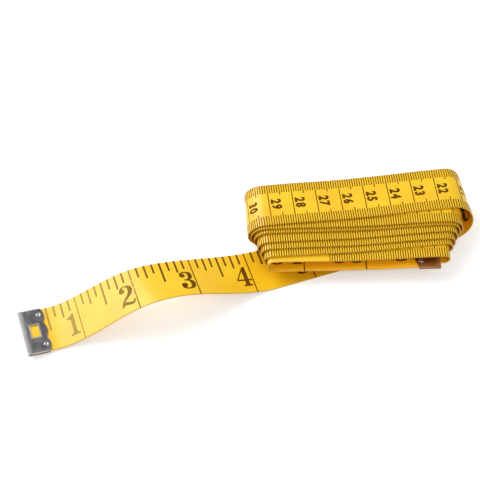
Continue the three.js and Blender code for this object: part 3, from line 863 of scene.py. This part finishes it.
def built_in_figures(depth):
    """The ten centimetre numerals as thin solids: the built-in letters, made bold and narrow."""
    figures = []
    scale = None
    for digit in range(10):
        text = bpy.data.curves.new("figure", "FONT")
        text.body = str(digit)
        text.resolution_u = 2
        text.offset = CM_NUMERAL_BOLDNESS
        holder = bpy.data.objects.new("figure", text)
        bpy.context.scene.collection.objects.link(holder)
        flat = bpy.data.meshes.new_from_object(holder.evaluated_get(bpy.context.evaluated_depsgraph_get()))
        bpy.data.objects.remove(holder)
        bpy.data.curves.remove(text)
        shape = bmesh.new()
        shape.from_mesh(flat)
        bpy.data.meshes.remove(flat)
        bmesh.ops.remove_doubles(shape, verts=shape.verts, dist=LETTER_MERGE_DISTANCE)
        left = min(v.co.x for v in shape.verts)
        foot = min(v.co.y for v in shape.verts)
        wide = max(v.co.x for v in shape.verts) - left
        tall = max(v.co.y for v in shape.verts) - foot
        scale = scale or (CM_NUMERAL_WIDTH / wide, CM_NUMERAL_HEIGHT / tall)
        bmesh.ops.translate(shape, verts=shape.verts, vec=(-left - wide / 2, -foot, 0))
        bmesh.ops.scale(shape, vec=(*scale, 1), verts=shape.verts)
        thickened(shape, depth)
        figures.append(mesh_from(f"centimetre_figure_{digit}", shape))
    return figures


class Scales:
    """The ink of both scales, gathered for each piece of the ribbon."""

    def __init__(self, ink_height):
        self.top = TAPE_THICKNESS / 2 + ink_height / MM
        self.depth = self.top - TAPE_THICKNESS / 2 + INK_SUNK
        self.prints = [bmesh.new(), bmesh.new(), bmesh.new()]
        self.ends = [RIBBON.marks[RIBBON.curl_last], RIBBON.marks[RIBBON.lift_last], math.inf]
        self.inch_figures = [inch_figure(digit, self.depth) for digit in range(10)]
        self.centimetre_figures = built_in_figures(self.depth)

    @staticmethod
    def bare(along):
        return not BARE_END < along < RIBBON.length - BARE_END

    def bar(self, shape, along, width, low, high):
        """One printed line across the ribbon, on its inch face."""
        if self.bare(along):
            return
        middle = Matrix.Translation((along, (low + high) / 2, self.top - self.depth / 2))
        size = Matrix.Diagonal((width, high - low, self.depth, 1))
        bmesh.ops.create_cube(shape, size=1, matrix=middle @ size)

    def numeral(self, shape, mesh, place):
        """A numeral placed by a matrix, unless it falls on the bare end."""
        if self.bare((place @ Vector()).x):
            return
        figure = bmesh.new()
        figure.from_mesh(mesh)
        bmesh.ops.transform(figure, matrix=place, verts=figure.verts)
        placed = mesh_from("placed", figure)
        shape.from_mesh(placed)
        bpy.data.meshes.remove(placed)

    def lay(self, shape, along):
        """Cuts a unit of the scale at the ribbon's facets, lays it on the ribbon and adds it to its piece."""
        if not shape.verts:
            shape.free()
            return
        start = min(v.co.x for v in shape.verts)
        end = max(v.co.x for v in shape.verts)
        for mark in RIBBON.marks_between(start, end):
            everything = shape.verts[:] + shape.edges[:] + shape.faces[:]
            bmesh.ops.bisect_plane(shape, geom=everything, dist=CUT_TOLERANCE, plane_co=(mark, 0, 0),
                                   plane_no=(1, 0, 0))
        for v in shape.verts:
            v.co = RIBBON.lay(*v.co)
        laid = mesh_from("laid", shape)
        self.prints[bisect.bisect_left(self.ends, along)].from_mesh(laid)
        bpy.data.meshes.remove(laid)

    def inch(self, number):
        """The eighths that lead up to an inch, its line and its numeral."""
        half = TAPE_WIDTH / 2
        line = number * INCH + INCH_START
        shape = bmesh.new()
        for eighth in range(1, 8):
            reach = HALF_REACH if eighth == 4 else EIGHTH_REACH if eighth % 2 else QUARTER_REACH
            self.bar(shape, line - INCH + eighth * INCH / 8, INCH_TICK, half - reach, half)
        self.bar(shape, line, INCH_LINE, -half, half)
        right = line - INCH_NUMERAL_GAP
        for digit in reversed(str(number)):
            right -= INCH_NUMERAL_ADVANCE
            place = Matrix.Translation((right, INCH_BASELINE, self.top))
            self.numeral(shape, self.inch_figures[int(digit)], place)
        self.lay(shape, line - INCH / 2)

    def centimetre(self, number):
        """The millimetres that lead up to a centimetre, its line and its numeral, on the back face."""
        half = TAPE_WIDTH / 2
        line = number * CENTIMETRE + CENTIMETRE_START
        shape = bmesh.new()
        for millimetre in range(1, 10):
            reach = FIVE_REACH if millimetre == 5 else MILLIMETRE_REACH
            along = line - CENTIMETRE + millimetre
            if not BARE_EDGE_START < along < BARE_EDGE_END:
                self.bar(shape, along, MILLIMETRE_TICK, half - reach, half)
            self.bar(shape, along, MILLIMETRE_TICK, -half, reach - half)
        if not BARE_EDGE_START < line < BARE_EDGE_END:
            self.bar(shape, line, CENTIMETRE_LINE, -half, half)
        turn_over = Matrix.Diagonal((1, -1, -1, 1))
        bmesh.ops.transform(shape, matrix=turn_over, verts=shape.verts)
        sideways = Matrix(((0, -1, 0, 0), (-1, 0, 0, 0), (0, 0, -1, 0), (0, 0, 0, 1)))
        digits = str(number)
        for i, digit in enumerate(digits):
            across = (i - (len(digits) - 1) / 2) * CM_NUMERAL_ADVANCE
            place = Matrix.Translation((line - CM_NUMERAL_GAP, -across, -self.top)) @ sideways
            self.numeral(shape, self.centimetre_figures[int(digit)], place)
        self.lay(shape, line - CENTIMETRE / 2)


class PieceOperator:
    """What the operators of this panel share."""
    bl_options = {"REGISTER", "UNDO"}


class TAPE_OT_stage(PieceOperator, bpy.types.Operator):
    """Sets the camera, the soft light and the table"""
    bl_idname = "tape_measure.set_stage"
    bl_label = "Set the stage"

    def execute(self, context):
        stage = settings_of(context).stage
        context.scene.view_settings.view_transform = "Standard"
        self.add_camera(context, stage)
        self.add_light(context, "key_light", KEY_LIGHT_PLACE, KEY_LIGHT_SIZE, stage.key_power)
        self.add_light(context, "fill_light", FILL_LIGHT_PLACE, FILL_LIGHT_SIZE, stage.fill_power)
        self.add_room_light(context, stage)
        table = bmesh.new()
        bmesh.ops.create_grid(table, x_segments=1, y_segments=1, size=TABLE_HALF_SIZE)
        add_object("table_top", table, table_finish(stage))
        return {"FINISHED"}

    @staticmethod
    def add_camera(context, stage):
        target = Vector(CAMERA_TARGET)
        lens = bpy.data.cameras.new("camera")
        lens.sensor_width = SENSOR_WIDTH
        lens.lens = stage.lens
        camera = bpy.data.objects.new("camera", lens)
        back = Vector((0, -math.cos(stage.elevation), math.sin(stage.elevation)))
        camera.location = target + back * stage.distance
        camera.rotation_euler = (math.pi / 2 - stage.elevation, 0, 0)
        context.scene.collection.objects.link(camera)
        context.scene.camera = camera

    @staticmethod
    def add_light(context, name, place, size, power):
        lamp = bpy.data.lights.new(name, "AREA")
        lamp.size = size
        lamp.energy = power
        light = bpy.data.objects.new(name, lamp)
        light.location = place
        light.rotation_euler = (-Vector(place)).to_track_quat("-Z", "Y").to_euler()
        context.scene.collection.objects.link(light)

    @staticmethod
    def add_room_light(context, stage):
        world = bpy.data.worlds.new("room_light")
        world.use_nodes = True
        tree = world.node_tree
        tree.nodes.clear()
        rays = tree.nodes.new("ShaderNodeLightPath")
        strength = tree.nodes.new("ShaderNodeMix")
        strength.inputs["A"].default_value = stage.sky
        strength.inputs["B"].default_value = 1
        tree.links.new(rays.outputs["Is Camera Ray"], strength.inputs["Factor"])
        room = tree.nodes.new("ShaderNodeBackground")
        room.inputs["Color"].default_value = (1, 1, 1, 1)
        tree.links.new(strength.outputs["Result"], room.inputs["Strength"])
        out = tree.nodes.new("ShaderNodeOutputWorld")
        tree.links.new(room.outputs[0], out.inputs["Surface"])
        context.scene.world = world


class TAPE_OT_ribbon(PieceOperator, bpy.types.Operator):
    """Lays the ribbon in three lengths"""
    bl_idname = "tape_measure.lay_ribbon"
    bl_label = "Lay the ribbon"

    def execute(self, context):
        ribbon = settings_of(context).ribbon
        cloth = material_of("coated_cloth", cloth_finish, ribbon)
        edge_round = ribbon.edge_round / MM
        spans = {
            "tape_curl": (0, RIBBON.curl_last, "free_tape_tip"),
            "tape_lift": (RIBBON.curl_last, RIBBON.lift_last, "free_tape_lead"),
            "tape_wound": (RIBBON.lift_last, len(RIBBON.stations) - 1, "wound_tape"),
        }
        for name, (first, last, node) in spans.items():
            piece = add_piece(name, ribbon_shape(first, last, edge_round), cloth)
            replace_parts(piece, node)
            follow_ribbon(piece)
            flat = (TAPE_WIDTH * MM, (RIBBON.marks[last] - RIBBON.marks[first]) * MM)
            held = "folded" if name == "tape_wound" else "laid"
        return {"FINISHED"}


def follow_ribbon(piece):
    """A piece of the ribbon, or of its print: the wound one goes with the hank, the others stay fixed where
    they lie.
    """
    def middle(distance):
        return on_free_stretch(distance).point * MM + RIBBON.shift

    if piece.name.endswith("wound"):
        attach(piece, "hank")
    elif piece.name.endswith("lift"):
        middle(LEAD_LIFT_AT + FLEX_REACH)
        middle(LEAD_LIFT_AT - FLEX_REACH)
        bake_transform(piece)
    else:
        middle(HUMP_CREST_AT + FLEX_REACH)
        middle(HUMP_CREST_AT - FLEX_REACH)
        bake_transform(piece)


class TAPE_OT_print(PieceOperator, bpy.types.Operator):
    """Prints inches on one face of the ribbon and centimetres on the other"""
    bl_idname = "tape_measure.print_scales"
    bl_label = "Print the scales"

    def execute(self, context):
        ribbon = settings_of(context).ribbon
        scales = Scales(ribbon.ink_height)
        for number in range(1, int(RIBBON.length / INCH) + 1):
            scales.inch(number)
        for number in range(1, int(RIBBON.length / CENTIMETRE) + 1):
            scales.centimetre(number)
        ink = material_of("printing_ink", ink_finish, ribbon)
        for name, shape in zip(("print_curl", "print_lift", "print_wound"), scales.prints):
            bmesh.ops.recalc_face_normals(shape, faces=shape.faces)
            follow_ribbon(add_piece(name, shape, ink))
        for figure in scales.inch_figures + scales.centimetre_figures:
            bpy.data.meshes.remove(figure)
        return {"FINISHED"}


def clip_place(end, inward):
    """The matrix from the frame to a clip's own place, with x from its fold into the ribbon and z up."""
    x = end.across.cross(end.up) * inward
    turn = Matrix((x, end.up.cross(x), end.up))
    fold = end.point * MM + RIBBON.shift - x * FOLD_RADIUS * MM
    return turn.to_4x4() @ Matrix.Translation(-fold)


def clip_ends():
    """Each end of the ribbon: its name, its body, its clip's place and how much painted yellow reflection its
    clip takes.
    """
    return (("outer", "tip", clip_place(RIBBON.stations[0], 1), 0),
            ("inner", "hank", clip_place(RIBBON.stations[-1], -1), 1))


class TAPE_OT_clips(PieceOperator, bpy.types.Operator):
    """Folds a metal clip over each end of the ribbon"""
    bl_idname = "tape_measure.fold_clips"
    bl_label = "Fold the clips"

    def execute(self, context):
        clips = settings_of(context).clips
        metal = material_of("clip_plating", clip_finish, clips)
        for end, body, into_clip, painted_reflection_share in clip_ends():
            node = f"{end}_end_clip"
            shape = bmesh.new()
            place = shape.verts.layers.float_vector.new("clip_place")
            tarnish = shape.verts.layers.float.new("tarnish")
            shape.from_mesh(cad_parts[node].data)
            bmesh.ops.remove_doubles(shape, verts=shape.verts, dist=MERGE_DISTANCE * MM)
            bmesh.ops.dissolve_limit(shape, angle_limit=math.radians(FLAT_ANGLE), verts=shape.verts,
                                     edges=shape.edges)
            sharp = [edge for edge in shape.edges if edge.calc_face_angle(0) > math.radians(CLIP_EDGE_ANGLE)]
            bmesh.ops.bevel(shape, geom=sharp, offset=clips.rounding, offset_type="OFFSET", segments=2,
                            profile=0.5, affect="EDGES", material=-1, clamp_overlap=True)
            for face in shape.faces:
                face.smooth = True
            for v in shape.verts:
                v[place] = into_clip @ v.co
                v[tarnish] = painted_reflection_share
            piece = add_piece(f"{node}_sheet", shape, metal)
            flats = piece.modifiers.new("flats", "WEIGHTED_NORMAL")
            flats.weight = FLATS_WEIGHT
            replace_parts(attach(piece, body), node)
        return {"FINISHED"}


class TAPE_OT_rivets(PieceOperator, bpy.types.Operator):
    """Sets two rivets with dished heads in each clip"""
    bl_idname = "tape_measure.set_rivets"
    bl_label = "Set the rivets"

    def execute(self, context):
        clips = settings_of(context).clips
        metal = material_of("rivet_plating", rivet_finish, clips)
        for end, body, into_clip, _ in clip_ends():
            upright = into_clip.to_3x3().transposed()
            for side in ("near", "far"):
                node = f"{end}_{side}_rivet"
                low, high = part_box(node)
                shape = self.rivet()
                bmesh.ops.transform(shape, verts=shape.verts,
                                    matrix=Matrix.Translation((low + high) / 2) @ upright.to_4x4())
                piece = add_piece(f"{node}_heads", shape, metal)
                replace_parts(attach(piece, body), node)
        return {"FINISHED"}

    @staticmethod
    def rivet():
        """A shank with a dished head at both ends, spun upright about its middle."""
        outline = []
        for step in range(HEAD_STEPS + 1):
            share = step / HEAD_STEPS
            inside = max(1 - share / RIVET_RIM_SHARE, 0)
            outside = max((share - RIVET_RIM_SHARE) / (1 - RIVET_RIM_SHARE), 0)
            lost = RIVET_DISH_SHARE * inside ** 2 + RIVET_FALL_SHARE * outside ** 2
            outline.append((RIVET_HEAD_RADIUS * share, RIVET_HEAD_LEVEL + RIVET_HEAD_HEIGHT * (1 - lost)))
        outline += [(RIVET_HEAD_RADIUS, RIVET_HEAD_LEVEL), (RIVET_RADIUS, RIVET_HEAD_LEVEL)]
        outline += [(across, -height) for across, height in reversed(outline)]
        shape = bmesh.new()
        corners = [shape.verts.new((across * MM, 0, height * MM)) for across, height in outline]
        for before, after in zip(corners, corners[1:]):
            shape.edges.new((before, after))
        bmesh.ops.spin(shape, geom=shape.verts[:] + shape.edges[:], cent=(0, 0, 0), axis=(0, 0, 1),
                       angle=math.tau, steps=RIVET_SIDES, use_merge=True)
        bmesh.ops.remove_doubles(shape, verts=shape.verts, dist=MERGE_DISTANCE * MM)
        bmesh.ops.recalc_face_normals(shape, faces=shape.faces)
        for face in shape.faces:
            face.smooth = True
        for edge in shape.edges:
            edge.smooth = edge.calc_face_angle(0) < math.radians(RIVET_EDGE_ANGLE)
        return shape


STEPS = (TAPE_OT_stage, TAPE_OT_ribbon, TAPE_OT_print, TAPE_OT_clips, TAPE_OT_rivets)


class TAPE_PT_panel(bpy.types.Panel):
    """Lists the settings and the steps"""
    bl_idname = "TAPE_PT_panel"
    bl_label = "Tape measure"
    bl_space_type = "VIEW_3D"
    bl_region_type = "UI"
    bl_category = "Tape measure"

    def draw(self, context):
        settings = settings_of(context)
        for group in (settings.stage, settings.ribbon, settings.clips):
            box = self.layout.box()
            for name in group.__annotations__:
                box.prop(group, name)
        for step in STEPS:
            self.layout.operator(step.bl_idname)


CLASSES = (RibbonSettings, ClipSettings, StageSettings, TapeMeasureSettings, *STEPS, TAPE_PT_panel)


def register():
    for made in CLASSES:
        bpy.utils.register_class(made)
    bpy.types.Scene.tape_measure = PointerProperty(type=TapeMeasureSettings)


def unregister():
    del bpy.types.Scene.tape_measure
    for made in reversed(CLASSES):
        bpy.utils.unregister_class(made)


def main():
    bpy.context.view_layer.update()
    register()
    bpy.ops.tape_measure.set_stage()
    bpy.ops.tape_measure.lay_ribbon()
    bpy.ops.tape_measure.print_scales()
    bpy.ops.tape_measure.fold_clips()
    bpy.ops.tape_measure.set_rivets()


if __name__ == "__main__":
    main()
